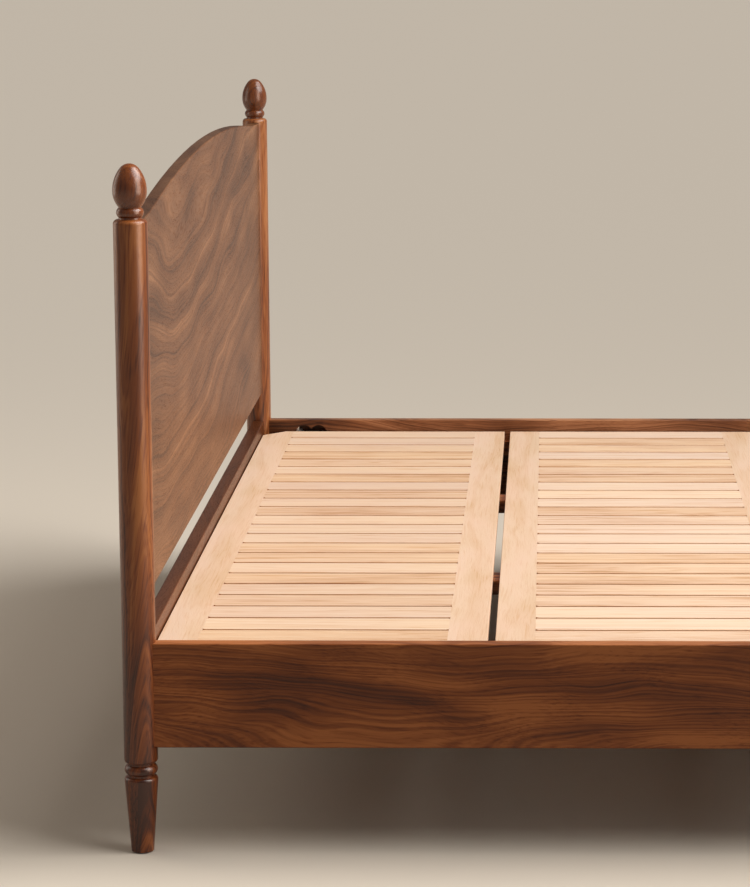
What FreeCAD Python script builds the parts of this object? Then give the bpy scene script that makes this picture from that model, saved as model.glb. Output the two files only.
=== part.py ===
import FreeCAD, Part
import Sketcher
import os
from types import SimpleNamespace

# Wooden bed: turned corner posts, an arched head panel, bolted side rails and four lift-out slat panels.
# Frame: floor at z = 0, origin under the middle of the bed, +X towards the foot, +Y to the sleeper's right
# as seen from the foot end. All lengths are in millimetres.

PANEL_COUNT = 4
SLAT_COUNT = 24
LEDGER_SCREW_COUNT = 7
SAME_PLACE = Part.Precision.confusion()

SIZES = {
    # Mattress, and the room left round it inside the rails
    "mattress_length": 2000,
    "mattress_length_ease": 32,
    "mattress_width": 1800,
    "mattress_width_ease": 26,
    # Side, head and foot rails
    "rail_top": 320,
    "rail_height": 158,
    "rail_thickness": 24,
    "rail_edge_round": 2,
    "housing_floor": 18,
    "tenon_thickness": 10,
    "tenon_length": 9,
    "tenon_shoulder": 14,
    # Turned posts
    "post_diameter": 50,
    "foot_bottom_diameter": 33.5,
    "foot_taper_top": 111.5,
    "foot_rim_round": 5,
    "ring_groove_diameter": 40,
    "ring_groove_width": 3,
    "foot_bead_diameter": 49.5,
    "foot_bead_height": 15,
    "shaft_round": 5,
    "shoulder_round": 7,
    "head_post_top": 947,
    "foot_post_top": 347,
    # Turned finials
    "finial_neck_diameter": 33,
    "finial_neck_height": 2.5,
    "collar_diameter": 40,
    "collar_height": 14,
    "finial_waist_diameter": 35,
    "finial_waist_height": 2,
    "egg_diameter": 50,
    "egg_belly_height": 22.5,
    "egg_crown_height": 39.5,
    "egg_tip_radius": 17,
    "finial_tenon_diameter": 18,
    "finial_tenon_length": 28,
    # Arched head panel
    "head_panel_thickness": 20,
    "head_panel_bottom": 380,
    "head_panel_end_top": 938.5,
    "head_panel_arch_rise": 43,
    "arch_turn_share": 0.8,
    "head_groove_floor": 15,
    "head_groove_ease": 0.5,
    "head_panel_edge_round": 2,
    # Slat panels
    "slat_drop": 23,
    "slat_thickness": 18,
    "slat_gap": 6,
    "slat_edge_round": 0.8,
    "slat_corner_round": 5,
    "panel_gap": 12,
    "panel_end_gap": 2,
    "panel_side_gap": 4,
    "board_width": 60.5,
    "board_corner_clip": 44,
    "board_edge_round": 1,
    "tongue_length": 10,
    "tongue_thickness": 6,
    # Ledgers along the side rails
    "ledger_width": 20,
    "ledger_height": 30,
    "ledger_end": 152,
    "ledger_screw_end": 60,
    "ledger_edge_round": 2,
    # Support beams, their end blocks and their legs
    "beam_width": 60,
    "beam_thickness": 25,
    "beam_spacing": 650,
    "beam_end_gap": 0.5,
    "beam_edge_round": 3,
    "block_width": 112,
    "block_depth": 22,
    "block_floor": 25,
    "leg_top_diameter": 44,
    "leg_bottom_diameter": 36,
    "leg_spacing": 680,
    "leg_edge_chamfer": 2,
    "leg_bolt_in_leg": 30,
    "leg_bolt_in_beam": 16,
    # Floor glides
    "glide_diameter": 24,
    "glide_thickness": 2,
    "glide_pin_diameter": 5,
    "glide_pin_length": 14,
    # Knock-down fittings between side rails and posts
    "stud_diameter": 8,
    "stud_edge": 28,
    "stud_overrun": 3,
    "insert_diameter": 12,
    "insert_length": 14,
    "pocket_diameter": 35,
    "pocket_reach": 77,
    "pocket_spacing": 30,
    "pocket_web": 5,
    "washer_width": 12,
    "washer_thickness": 6.3,
    "nut_across": 13,
    "nut_thickness": 6.5,
    "dowel_diameter": 10,
    "dowel_in_post": 13,
    "dowel_in_rail": 25,
    # Wood screws
    "screw_head_diameter": 8,
    "screw_head_height": 3.5,
    "screw_diameter": 4,
    "screw_bite": 14,
    # Fits and cuts
    "fit_clearance": 0.2,
    "cut_overrun": 1,
}


class Size:
    """A length, held both as a number and as the sheet formula that gives it."""

    def __init__(self, value, formula):
        self.value = value
        self.formula = formula

    def __add__(self, other):
        other = as_size(other)
        return Size(self.value + other.value, f"({self.formula} + {other.formula})")

    def __sub__(self, other):
        other = as_size(other)
        return Size(self.value - other.value, f"({self.formula} - {other.formula})")

    def __mul__(self, other):
        other = as_size(other)
        return Size(self.value * other.value, f"({self.formula} * {other.formula})")

    def __truediv__(self, other):
        other = as_size(other)
        return Size(self.value / other.value, f"({self.formula} / {other.formula})")

    def __neg__(self):
        return Size(-self.value, f"(-1 * {self.formula})")

    __rmul__ = __mul__


def as_size(term):
    return term if isinstance(term, Size) else Size(term, repr(term))


doc = FreeCAD.newDocument("wooden_bed")
sheet = doc.addObject("Spreadsheet::Sheet", "Sizes")
for row, (alias, number) in enumerate(SIZES.items(), start=1):
    sheet.set(f"A{row}", alias)
    sheet.set(f"B{row}", str(number))
    sheet.setAlias(f"B{row}", alias)
doc.recompute()
s = SimpleNamespace(**{alias: Size(number, f"Sizes.{alias}") for alias, number in SIZES.items()})

# Sizes that follow from the driving ones
inner_length = s.mattress_length + s.mattress_length_ease
inner_width = s.mattress_width + s.mattress_width_ease
post_x = (inner_length + s.rail_thickness) / 2
post_y = (inner_width + s.rail_thickness) / 2
rail_bottom = s.rail_top - s.rail_height
side_rail_length = (post_x - s.housing_floor) * 2
end_rail_length = (post_y - s.housing_floor) * 2
stud_height_low = s.stud_edge
stud_height_high = s.rail_height - s.stud_edge
pocket_depth = s.rail_thickness - s.pocket_web
pocket_wall = s.pocket_reach - s.pocket_diameter / 2
washer_face = pocket_wall + s.washer_thickness
slat_top = s.rail_top - s.slat_drop
slat_bottom = slat_top - s.slat_thickness
beam_bottom = slat_bottom - s.beam_thickness
panel_length = (inner_length - s.panel_end_gap * 2 - s.panel_gap * (PANEL_COUNT - 1)) / PANEL_COUNT
panel_width = inner_width - s.panel_side_gap * 2
slat_pitch = (panel_width + s.slat_gap) / SLAT_COUNT
slat_width = slat_pitch - s.slat_gap
ledger_length = (post_x - s.ledger_end) * 2
ledger_screw_span = ledger_length - s.ledger_screw_end * 2
beam_length = inner_length - s.beam_end_gap * 2
block_height = s.beam_thickness + s.block_floor
block_screw_y = s.beam_width / 4 + s.block_width / 4

XY = "XY_Plane"
XZ = "XZ_Plane"
YZ = "YZ_Plane"
nodes = {}


# Drawing helpers
def bind(thing, path, size):
    thing.setExpression(path, as_size(size).formula)


def origin_feature(body, role):
    return next(feature for feature in body.Origin.OriginFeatures if feature.Role == role)


def new_body(label):
    body = doc.addObject("PartDesign::Body", label)
    body.Label = label
    return body


def keep(thing, x=0, y=0, z=0, turn=0, solids=1):
    """Place a finished piece in the bed and list it for export."""
    thing.Placement = FreeCAD.Placement(FreeCAD.Vector(), FreeCAD.Rotation(FreeCAD.Vector(0, 0, 1), turn))
    for axis, size in (("x", x), ("y", y), ("z", z)):
        bind(thing, f"Placement.Base.{axis}", size)
    nodes[thing.Label] = (thing, solids)


def new_sketch(body, name, plane, offset):
    sketch = body.newObject("Sketcher::SketchObject", name)
    sketch.AttachmentSupport = (origin_feature(body, plane), [""])
    sketch.MapMode = "FlatFace"
    if offset is not None:
        bind(sketch, "AttachmentOffset.Base.z", offset)
    return sketch


def fix_point(sketch, name, geometry, point, u, v):
    """Tie a sketch point to the sketch axes by its two coordinates; None leaves one free."""
    for kind, tag, axis, size in (("DistanceX", "u", -2, u), ("DistanceY", "v", -1, v)):
        if size is None:
            continue
        if not isinstance(size, Size):
            sketch.addConstraint(Sketcher.Constraint("PointOnObject", geometry, point, axis))
            continue
        index = sketch.addConstraint(Sketcher.Constraint(kind, -1, 1, geometry, point, size.value))
        sketch.renameConstraint(index, f"{name}_{tag}")
        bind(sketch, f"Constraints.{name}_{tag}", size)


def arc_between(start, end, axis, centre):
    """The shorter arc between two points, given one coordinate of its centre."""
    a, b = (0, 1) if axis == "u" else (1, 0)
    along = as_size(centre).value
    across = (end[b] ** 2 - start[b] ** 2 + (end[a] - along) ** 2 - (start[a] - along) ** 2)
    across /= 2 * (end[b] - start[b])
    middle = FreeCAD.Vector()
    middle[a] = along
    middle[b] = across
    to_chord = (start + end) / 2 - middle
    to_chord.normalize()
    return Part.Arc(start, middle + to_chord * middle.distanceToPoint(start), end)


def draw_loop(sketch, loop, first):
    """Draw one closed outline. A point is (u, v), or (u, v, axis, centre) where an arc leaves it."""
    corners = [FreeCAD.Vector(as_size(point[0]).value, as_size(point[1]).value, 0) for point in loop]
    start_points = []
    for index, point in enumerate(loop):
        start = corners[index]
        end = corners[(index + 1) % len(loop)]
        edge = Part.LineSegment(start, end) if len(point) == 2 else arc_between(start, end, *point[2:])
        sketch.addGeometry(edge, False)
        start_is_first = sketch.getPoint(first + index, 1).isEqual(start, SAME_PLACE)
        start_points.append(1 if start_is_first else 2)
    for index, point in enumerate(loop):
        after = (index + 1) % len(loop)
        edge_end = 3 - start_points[index]
        link = Sketcher.Constraint("Coincident", first + index, edge_end, first + after, start_points[after])
        sketch.addConstraint(link)
    for index, point in enumerate(loop):
        fix_point(sketch, f"p{first + index}", first + index, start_points[index], point[0], point[1])
        if len(point) == 4:
            centre = {"u": None, "v": None}
            centre[point[2]] = point[3]
            fix_point(sketch, f"c{first + index}", first + index, 3, centre["u"], centre["v"])


def outline(body, name, plane, *loops, offset=None):
    sketch = new_sketch(body, name, plane, offset)
    first = 0
    for loop in loops:
        draw_loop(sketch, loop, first)
        first += len(loop)
    return sketch


def rectangle(u_low, v_low, u_high, v_high):
    return [(u_low, v_low), (u_high, v_low), (u_high, v_high), (u_low, v_high)]


def circles(body, name, plane, diameter, centres, offset=None):
    sketch = new_sketch(body, name, plane, offset)
    for index, (u, v) in enumerate(centres):
        middle = FreeCAD.Vector(as_size(u).value, as_size(v).value, 0)
        sketch.addGeometry(Part.Circle(middle, FreeCAD.Vector(0, 0, 1), diameter.value / 2), False)
        fix_point(sketch, f"c{index}", index, 3, u, v)
        size = sketch.addConstraint(Sketcher.Constraint("Diameter", index, diameter.value))
        sketch.renameConstraint(size, f"d{index}")
        bind(sketch, f"Constraints.d{index}", diameter)
    return sketch


# Feature helpers
def pad(body, sketch, length, both_ways=False):
    feature = body.newObject("PartDesign::Pad", "pad")
    feature.Profile = sketch
    feature.SideType = "Symmetric" if both_ways else "One side"
    bind(feature, "Length", length)
    return feature


def pocket(body, sketch, depth, with_normal=False):
    """Cut against the sketch's normal, or along it, by a depth."""
    feature = body.newObject("PartDesign::Pocket", "pocket")
    feature.Profile = sketch
    feature.Reversed = with_normal
    bind(feature, "Length", depth)
    return feature


def pocket_through(body, sketch):
    feature = body.newObject("PartDesign::Pocket", "pocket")
    feature.Profile = sketch
    feature.SideType = "Symmetric"
    feature.Type = "ThroughAll"
    return feature


def revolve(body, sketch, axis):
    feature = body.newObject("PartDesign::Revolution", "turning")
    feature.Profile = sketch
    feature.ReferenceAxis = (sketch, [axis])
    return feature


def pattern(body, originals, axis, span, count):
    feature = body.newObject("PartDesign::LinearPattern", "row")
    feature.Originals = originals
    feature.Direction = (origin_feature(body, axis), [""])
    bind(feature, "Length", span)
    feature.Occurrences = count
    body.Tip = feature
    return feature


def mirror(body, originals, plane):
    feature = body.newObject("PartDesign::Mirrored", "mirror")
    feature.Originals = originals
    feature.MirrorPlane = (origin_feature(body, plane), [""])
    body.Tip = feature
    return feature


def ease_edges(body, base, chosen, radius):
    """Round the edges of a feature for which chosen(edge) is true."""
    doc.recompute()
    names = [f"Edge{index}" for index, edge in enumerate(base.Shape.Edges, start=1) if chosen(edge)]
    feature = body.newObject("PartDesign::Fillet", "eased")
    feature.Base = (base, names)
    bind(feature, "Radius", radius)
    return feature


def runs_along(axis):
    """True for straight edges that run along the given axis."""
    def chosen(edge):
        straight = isinstance(edge.Curve, Part.Line)
        return straight and abs(edge.Curve.Direction.dot(axis)) > 1 - SAME_PLACE
    return chosen


def lies_at_x(place):
    """True for edges whose middle lies at the given x."""
    def chosen(edge):
        return abs(edge.CenterOfMass.x - place.value) < SAME_PLACE
    return chosen


# Turned pieces
def post_profile(top):
    """Half section of a post: tapered foot, groove, bead, groove, shaft and rounded shoulder."""
    shaft = s.post_diameter / 2
    groove = s.ring_groove_diameter / 2
    bead = s.foot_bead_diameter / 2
    rim_top = s.foot_taper_top + s.foot_rim_round
    bead_bottom = rim_top + s.ring_groove_width
    bead_middle = bead_bottom + s.foot_bead_height / 2
    bead_top = bead_bottom + s.foot_bead_height
    shaft_start = bead_top + s.ring_groove_width
    shoulder = top - s.shoulder_round
    pin = s.glide_pin_diameter / 2 + s.fit_clearance
    pin_top = s.glide_thickness + s.glide_pin_length + s.cut_overrun
    bore = s.finial_tenon_diameter / 2 + s.fit_clearance
    bore_floor = top - s.finial_tenon_length - s.cut_overrun
    return [
        (0, pin_top),
        (pin, pin_top),
        (pin, s.glide_thickness),
        (s.foot_bottom_diameter / 2, s.glide_thickness),
        (shaft, s.foot_taper_top, "v", s.foot_taper_top),
        (groove, rim_top),
        (groove, bead_bottom, "v", bead_middle),
        (bead, bead_middle, "v", bead_middle),
        (groove, bead_top),
        (groove, shaft_start, "v", shaft_start + s.shaft_round),
        (shaft, shaft_start + s.shaft_round),
        (shaft, shoulder, "v", shoulder),
        (shaft - s.shoulder_round, top),
        (bore, top),
        (bore, bore_floor),
        (0, bore_floor),
    ]


def make_post(label, top, side_x, side_y, has_panel):
    """A corner post. side_x and side_y give the directions in which its rails leave it."""
    body = new_body(label)
    revolve(body, outline(body, "post_profile", XZ, post_profile(top)), "V_Axis")

    def cut_x(sketch):
        return pocket(body, sketch, s.post_diameter, with_normal=side_x > 0)

    def cut_y(sketch):
        return pocket(body, sketch, s.post_diameter, with_normal=side_y < 0)

    half_rail = s.rail_thickness / 2
    housing = rectangle(-half_rail, rail_bottom, half_rail, s.rail_top)
    cut_x(outline(body, "side_rail_housing", YZ, housing, offset=s.housing_floor * side_x))
    cut_y(outline(body, "end_rail_housing", XZ, housing, offset=s.housing_floor * -side_y))

    half_tenon = s.tenon_thickness / 2
    mortise_low = rail_bottom + s.tenon_shoulder
    mortise_high = s.rail_top - s.tenon_shoulder
    mortise = rectangle(-half_tenon, mortise_low, half_tenon, mortise_high)
    mortise_floor = s.housing_floor - s.tenon_length
    cut_y(outline(body, "end_rail_mortise", XZ, mortise, offset=mortise_floor * -side_y))

    insert_bore = s.insert_diameter + s.fit_clearance * 2
    insert_floor = s.housing_floor - s.insert_length
    stud_centres = [(0, rail_bottom + stud_height_low), (0, rail_bottom + stud_height_high)]
    cut_x(circles(body, "insert_bores", YZ, insert_bore, stud_centres, offset=insert_floor * side_x))

    dowel_bore = s.dowel_diameter + s.fit_clearance * 2
    dowel_floor = s.housing_floor - s.dowel_in_post
    dowel_centre = [(0, rail_bottom + s.rail_height / 2)]
    cut_x(circles(body, "dowel_bore", YZ, dowel_bore, dowel_centre, offset=dowel_floor * side_x))

    if has_panel:
        half_panel = s.head_panel_thickness / 2
        groove_top = s.head_panel_end_top + s.head_groove_ease
        groove = rectangle(-half_panel, s.head_panel_bottom, half_panel, groove_top)
        cut_y(outline(body, "head_panel_groove", XZ, groove, offset=s.head_groove_floor * -side_y))
    keep(body, post_x * -side_x, post_y * -side_y)


def finial_profile():
    """Half section of a finial: tenon, neck, collar bead, waist and egg. It stands on z = 0."""
    tenon = s.finial_tenon_diameter / 2
    neck = s.finial_neck_diameter / 2
    collar = s.collar_diameter / 2
    waist = s.finial_waist_diameter / 2
    belly = s.egg_diameter / 2
    collar_top = s.finial_neck_height + s.collar_height
    collar_middle = s.finial_neck_height + s.collar_height / 2
    egg_bottom = collar_top + s.finial_waist_height
    egg_middle = egg_bottom + s.egg_belly_height
    egg_top = egg_middle + s.egg_crown_height
    # The crown is a long flank arc, upright at the belly, that runs smoothly into a tip arc on the axis.
    tip = s.egg_tip_radius
    tip_rise = s.egg_crown_height - tip
    flank = (tip_rise * tip_rise + belly * belly - tip * tip) / ((belly - tip) * 2)
    join_radius = tip * (flank - belly) / (flank - tip)
    join_height = egg_middle + tip_rise + tip * tip_rise / (flank - tip)
    return [
        (0, -s.finial_tenon_length),
        (tenon, -s.finial_tenon_length),
        (tenon, 0),
        (neck, 0),
        (neck, s.finial_neck_height, "v", collar_middle),
        (collar, collar_middle, "v", collar_middle),
        (neck, collar_top),
        (waist, egg_bottom, "v", egg_middle),
        (belly, egg_middle, "v", egg_middle),
        (join_radius, join_height, "u", 0),
        (0, egg_top),
    ]


def make_finial(label, x, y, z):
    body = new_body(label)
    revolve(body, outline(body, "finial_profile", XZ, finial_profile()), "V_Axis")
    keep(body, x, y, z)


def make_glide(label, x, y):
    """A nylon glide: a disc on the floor with a pin driven up into the wood."""
    disc = s.glide_diameter / 2
    pin = s.glide_pin_diameter / 2
    pin_top = s.glide_thickness + s.glide_pin_length
    disc_top = s.glide_thickness
    profile = [(0, 0), (disc, 0), (disc, disc_top), (pin, disc_top), (pin, pin_top), (0, pin_top)]
    body = new_body(label)
    revolve(body, outline(body, "glide_profile", XZ, profile), "V_Axis")
    keep(body, x, y)


def make_leg(label, x, y):
    """A tapered round leg under a beam, bored for its bolt above and its glide below."""
    top = s.leg_top_diameter / 2
    bottom = s.leg_bottom_diameter / 2
    bolt = s.stud_diameter / 2 + s.fit_clearance
    bolt_floor = beam_bottom - s.leg_bolt_in_leg - s.cut_overrun
    pin = s.glide_pin_diameter / 2 + s.fit_clearance
    pin_top = s.glide_thickness + s.glide_pin_length + s.cut_overrun
    profile = [
        (0, pin_top),
        (pin, pin_top),
        (pin, s.glide_thickness),
        (bottom - s.leg_edge_chamfer, s.glide_thickness),
        (bottom, s.glide_thickness + s.leg_edge_chamfer),
        (top, beam_bottom),
        (bolt, beam_bottom),
        (bolt, bolt_floor),
        (0, bolt_floor),
    ]
    body = new_body(label)
    revolve(body, outline(body, "leg_profile", XZ, profile), "V_Axis")
    keep(body, x, y)


# Rails and the head panel
def make_side_rail(label, side):
    """A side rail, drawn with its inner face towards +Y and turned end for end on the right."""
    body = new_body(label)
    half = side_rail_length / 2
    blank = pad(body, outline(body, "rail_blank", XZ, rectangle(-half, 0, half, s.rail_height)),
                s.rail_thickness, both_ways=True)
    ease_edges(body, blank, runs_along(FreeCAD.Vector(1, 0, 0)), s.rail_edge_round)

    # Each bolt has a pocket of two overlapping bores: the first for the nut, the second for the spanner.
    inner_face = -(s.rail_thickness / 2)
    nut_x = half - s.pocket_reach
    spanner_x = nut_x - s.pocket_spacing
    cuts = []
    for name, x in (("nut_bores", nut_x), ("spanner_bores", spanner_x)):
        centres = [(x, stud_height_low), (x, stud_height_high)]
        sketch = circles(body, name, XZ, s.pocket_diameter, centres, offset=inner_face)
        cuts.append(pocket(body, sketch, pocket_depth, with_normal=True))

    stud_bore = s.stud_diameter + s.fit_clearance * 2
    stud_centres = [(0, stud_height_low), (0, stud_height_high)]
    sketch = circles(body, "stud_bores", YZ, stud_bore, stud_centres, offset=nut_x)
    cuts.append(pocket(body, sketch, s.pocket_reach, with_normal=True))

    dowel_bore = s.dowel_diameter + s.fit_clearance * 2
    dowel_centre = [(0, s.rail_height / 2)]
    sketch = circles(body, "dowel_bore", YZ, dowel_bore, dowel_centre, offset=half - s.dowel_in_rail)
    cuts.append(pocket(body, sketch, s.dowel_in_rail, with_normal=True))
    mirror(body, cuts, YZ)

    first_screw = -(ledger_screw_span / 2)
    screw_height = slat_bottom - s.ledger_height / 2 - rail_bottom
    pilot_bore = s.screw_diameter + s.fit_clearance * 2
    sketch = circles(body, "pilot_bore", XZ, pilot_bore, [(first_screw, screw_height)], offset=inner_face)
    pilot = pocket(body, sketch, s.screw_bite, with_normal=True)
    pattern(body, [pilot], "X_Axis", ledger_screw_span, LEDGER_SCREW_COUNT)
    keep(body, 0, post_y * side, rail_bottom, turn=0 if side < 0 else 180)


def make_end_rail(label, end):
    """A head or foot rail, drawn with its inner face towards +X, with a stub tenon at each end."""
    body = new_body(label)
    half = end_rail_length / 2
    blank = pad(body, outline(body, "rail_blank", YZ, rectangle(-half, 0, half, s.rail_height)),
                s.rail_thickness, both_ways=True)
    ease_edges(body, blank, runs_along(FreeCAD.Vector(0, 1, 0)), s.rail_edge_round)
    reach = half + s.tenon_length
    tenons = rectangle(-reach, s.tenon_shoulder, reach, s.rail_height - s.tenon_shoulder)
    pad(body, outline(body, "tenons", YZ, tenons), s.tenon_thickness, both_ways=True)

    screw_height = slat_bottom - block_height / 2 - rail_bottom
    beam_y = s.beam_spacing / 2
    screw_places = [(beam_y + block_screw_y, screw_height), (beam_y - block_screw_y, screw_height),
                    (block_screw_y - beam_y, screw_height), (-beam_y - block_screw_y, screw_height)]
    pilot_bore = s.screw_diameter + s.fit_clearance * 2
    sketch = circles(body, "pilot_bores", YZ, pilot_bore, screw_places, offset=s.rail_thickness / 2)
    pocket(body, sketch, s.screw_bite)
    keep(body, post_x * end, 0, rail_bottom, turn=0 if end < 0 else 180)


def make_head_panel(label):
    """The arched panel. Each half of its top is an arc over the middle that turns hollow at the post."""
    body = new_body(label)
    reach = post_y - s.head_groove_floor
    end_top = s.head_panel_end_top
    crown = end_top + s.head_panel_arch_rise
    turn_y = reach * s.arch_turn_share
    turn_z = crown - s.head_panel_arch_rise * s.arch_turn_share
    shape = [
        (-reach, s.head_panel_bottom),
        (reach, s.head_panel_bottom),
        (reach, end_top, "u", reach),
        (turn_y, turn_z, "u", 0),
        (0, crown, "u", 0),
        (-turn_y, turn_z, "u", -reach),
        (-reach, end_top),
    ]
    board = pad(body, outline(body, "arched_outline", YZ, shape), s.head_panel_thickness, both_ways=True)
    upright = runs_along(FreeCAD.Vector(0, 0, 1))
    across = runs_along(FreeCAD.Vector(1, 0, 0))
    ease_edges(body, board, lambda edge: not upright(edge) and not across(edge), s.head_panel_edge_round)
    keep(body, -post_x)


# Slat panels
def make_cross_board(label, x, turn, clipped):
    """A panel's end board, grooved for the slats' tongues. Corners beside the posts are clipped."""
    body = new_body(label)
    half = panel_width / 2
    width = s.board_width
    clip = s.board_corner_clip
    if clipped:
        shape = [(0, clip - half), (clip, -half), (width, -half),
                 (width, half), (clip, half), (0, half - clip)]
    else:
        shape = rectangle(0, -half, width, half)
    board = pad(body, outline(body, "board_outline", XY, shape), s.slat_thickness)
    upright = runs_along(FreeCAD.Vector(0, 0, 1))
    meets_slats = lies_at_x(width)
    ease_edges(body, board, lambda edge: not upright(edge) and not meets_slats(edge), s.board_edge_round)
    tongue_low = (s.slat_thickness - s.tongue_thickness) / 2
    tongue_high = (s.slat_thickness + s.tongue_thickness) / 2
    groove = rectangle(width - s.tongue_length, tongue_low, width + s.cut_overrun, tongue_high)
    pocket_through(body, outline(body, "tongue_groove", XZ, groove))
    keep(body, x, 0, slat_bottom, turn=turn)


def make_slats(label, x):
    """All slats of one panel, side by side, with a tongue at each end."""
    body = new_body(label)
    body.AllowCompound = True
    start = s.board_width - s.tongue_length
    end = panel_length - start
    edge = -(panel_width / 2)
    far_edge = edge + slat_width
    ease = s.slat_edge_round
    top = s.slat_thickness
    shoulder = top - ease
    section = [(edge, 0), (far_edge, 0), (far_edge, shoulder, "v", shoulder),
               (far_edge - ease, top), (edge + ease, top, "v", shoulder), (edge, shoulder)]
    slat = pad(body, outline(body, "slat_section", YZ, section, offset=start), end - start)
    bend = s.slat_corner_round
    over = s.cut_overrun
    corners = []
    for meet, tip, inward in ((s.board_width, start - over, bend), (panel_length - s.board_width, end + over, -bend)):
        for side, outside, inside in ((edge, edge - over, edge + bend), (far_edge, far_edge + over, far_edge - bend)):
            bend_x = meet + inward
            corners.append([(tip, outside), (bend_x, outside), (bend_x, side, "u", bend_x),
                            (meet, inside), (tip, inside)])
    rounded = pocket_through(body, outline(body, "rounded_corners", XY, *corners))
    pattern(body, [slat, rounded], "Y_Axis", slat_pitch * (SLAT_COUNT - 1), SLAT_COUNT)
    tongue_low = (s.slat_thickness - s.tongue_thickness) / 2
    tongue_high = (s.slat_thickness + s.tongue_thickness) / 2
    head_end = (start - s.cut_overrun, s.board_width)
    foot_end = (panel_length - s.board_width, end + s.cut_overrun)
    shoulders = []
    for low_x, high_x in (head_end, foot_end):
        shoulders.append(rectangle(low_x, -s.cut_overrun, high_x, tongue_low))
        shoulders.append(rectangle(low_x, tongue_high, high_x, top + s.cut_overrun))
    pocket_through(body, outline(body, "tongue_shoulders", XZ, *shoulders))
    keep(body, x, 0, slat_bottom, solids=SLAT_COUNT)


# What carries the slat panels
def screw_holes(body, plane, places, offset, depth):
    """Clearance holes with counterbores for the screw heads, cut in from one face."""
    bore_diameter = s.screw_diameter + s.fit_clearance * 2
    head_diameter = s.screw_head_diameter + s.fit_clearance * 2
    bore = circles(body, "screw_bores", plane, bore_diameter, places, offset=offset)
    head = circles(body, "head_bores", plane, head_diameter, places, offset=offset)
    return [pocket(body, bore, depth), pocket(body, head, s.screw_head_height)]


def make_ledger(label, side):
    """A strip screwed to a side rail, drawn with its inner face towards -Y and turned round on the left."""
    body = new_body(label)
    half = ledger_length / 2
    section = rectangle(0, 0, s.ledger_width, s.ledger_height)
    strip = pad(body, outline(body, "ledger_section", YZ, section, offset=-half), ledger_length)
    ease_edges(body, strip, runs_along(FreeCAD.Vector(1, 0, 0)), s.ledger_edge_round)
    first_screw = [(-(ledger_screw_span / 2), s.ledger_height / 2)]
    holes = screw_holes(body, XZ, first_screw, None, s.ledger_width)
    pattern(body, holes, "X_Axis", ledger_screw_span, LEDGER_SCREW_COUNT)
    inner_face = inner_width / 2 - s.ledger_width
    keep(body, 0, inner_face * side, slat_bottom - s.ledger_height, turn=0 if side > 0 else 180)


def make_beam(label, y):
    body = new_body(label)
    half = beam_length / 2
    half_width = s.beam_width / 2
    section = rectangle(-half_width, 0, half_width, s.beam_thickness)
    bar = pad(body, outline(body, "beam_section", YZ, section, offset=-half), beam_length)
    ease_edges(body, bar, runs_along(FreeCAD.Vector(1, 0, 0)), s.beam_edge_round)
    leg_x = s.leg_spacing / 2
    bolt_bore = s.stud_diameter + s.fit_clearance * 2
    pocket(body, circles(body, "leg_bolt_bores", XY, bolt_bore, [(-leg_x, 0), (leg_x, 0)]),
           s.leg_bolt_in_beam + s.cut_overrun, with_normal=True)
    keep(body, 0, y, beam_bottom)


def make_beam_block(label, end, y):
    """A notched block on an end rail that a beam drops into, drawn on the head rail's inner face."""
    body = new_body(label)
    half = s.block_width / 2
    notch = s.beam_width / 2 + s.fit_clearance
    floor = s.block_floor
    shape = [(-half, 0), (half, 0), (half, block_height), (notch, block_height),
             (notch, floor), (-notch, floor), (-notch, block_height), (-half, block_height)]
    pad(body, outline(body, "block_outline", YZ, shape), s.block_depth)
    places = [(block_screw_y, block_height / 2), (-block_screw_y, block_height / 2)]
    screw_holes(body, YZ, places, s.block_depth, s.block_depth)
    keep(body, inner_length / 2 * end, y, slat_bottom - block_height, turn=0 if end < 0 else 180)


# Fasteners: one of each is drawn along +X from its origin, and the rest are copies of it
def copies(label, stock, places):
    """A group of equal pieces. Each place is (x, y, z, turn about the vertical in degrees)."""
    doc.recompute()
    shapes = []
    for x, y, z, turn in places:
        shape = stock.Shape.copy()
        position = FreeCAD.Vector(*(as_size(term).value for term in (x, y, z)))
        rotation = FreeCAD.Rotation(FreeCAD.Vector(0, 0, 1), turn)
        shape.Placement = FreeCAD.Placement(position, rotation) * shape.Placement
        shapes.append(shape)
    group = doc.addObject("Part::Feature", label)
    group.Label = label
    group.Shape = Part.makeCompound(shapes)
    nodes[label] = (group, len(places))


def cylinder_along(name, axis, diameter, length, start=0):
    """A round bar along one axis that begins at a given distance from the origin."""
    bar = doc.addObject("Part::Cylinder", name)
    turn_axis, turn, path = {
        "X": (FreeCAD.Vector(0, 1, 0), 90, "Placement.Base.x"),
        "Y": (FreeCAD.Vector(1, 0, 0), -90, "Placement.Base.y"),
        "Z": (FreeCAD.Vector(0, 0, 1), 0, "Placement.Base.z"),
    }[axis]
    bar.Placement = FreeCAD.Placement(FreeCAD.Vector(), FreeCAD.Rotation(turn_axis, turn))
    bind(bar, "Radius", diameter / 2)
    bind(bar, "Height", length)
    bind(bar, path, start)
    return bar


def cut_from(name, base, tool):
    result = doc.addObject("Part::Cut", name)
    result.Base = base
    result.Tool = tool
    return result


def screw_stock(name, length):
    """A wood screw with a round head. Its head's top is at the origin."""
    head = s.screw_head_diameter / 2
    shank = s.screw_diameter / 2
    neck = s.screw_head_height
    profile = [(0, 0), (0, head), (neck, head), (neck, shank), (length, shank), (length, 0)]
    body = new_body(name)
    revolve(body, outline(body, "screw_profile", XY, profile), "H_Axis")
    return body


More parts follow.
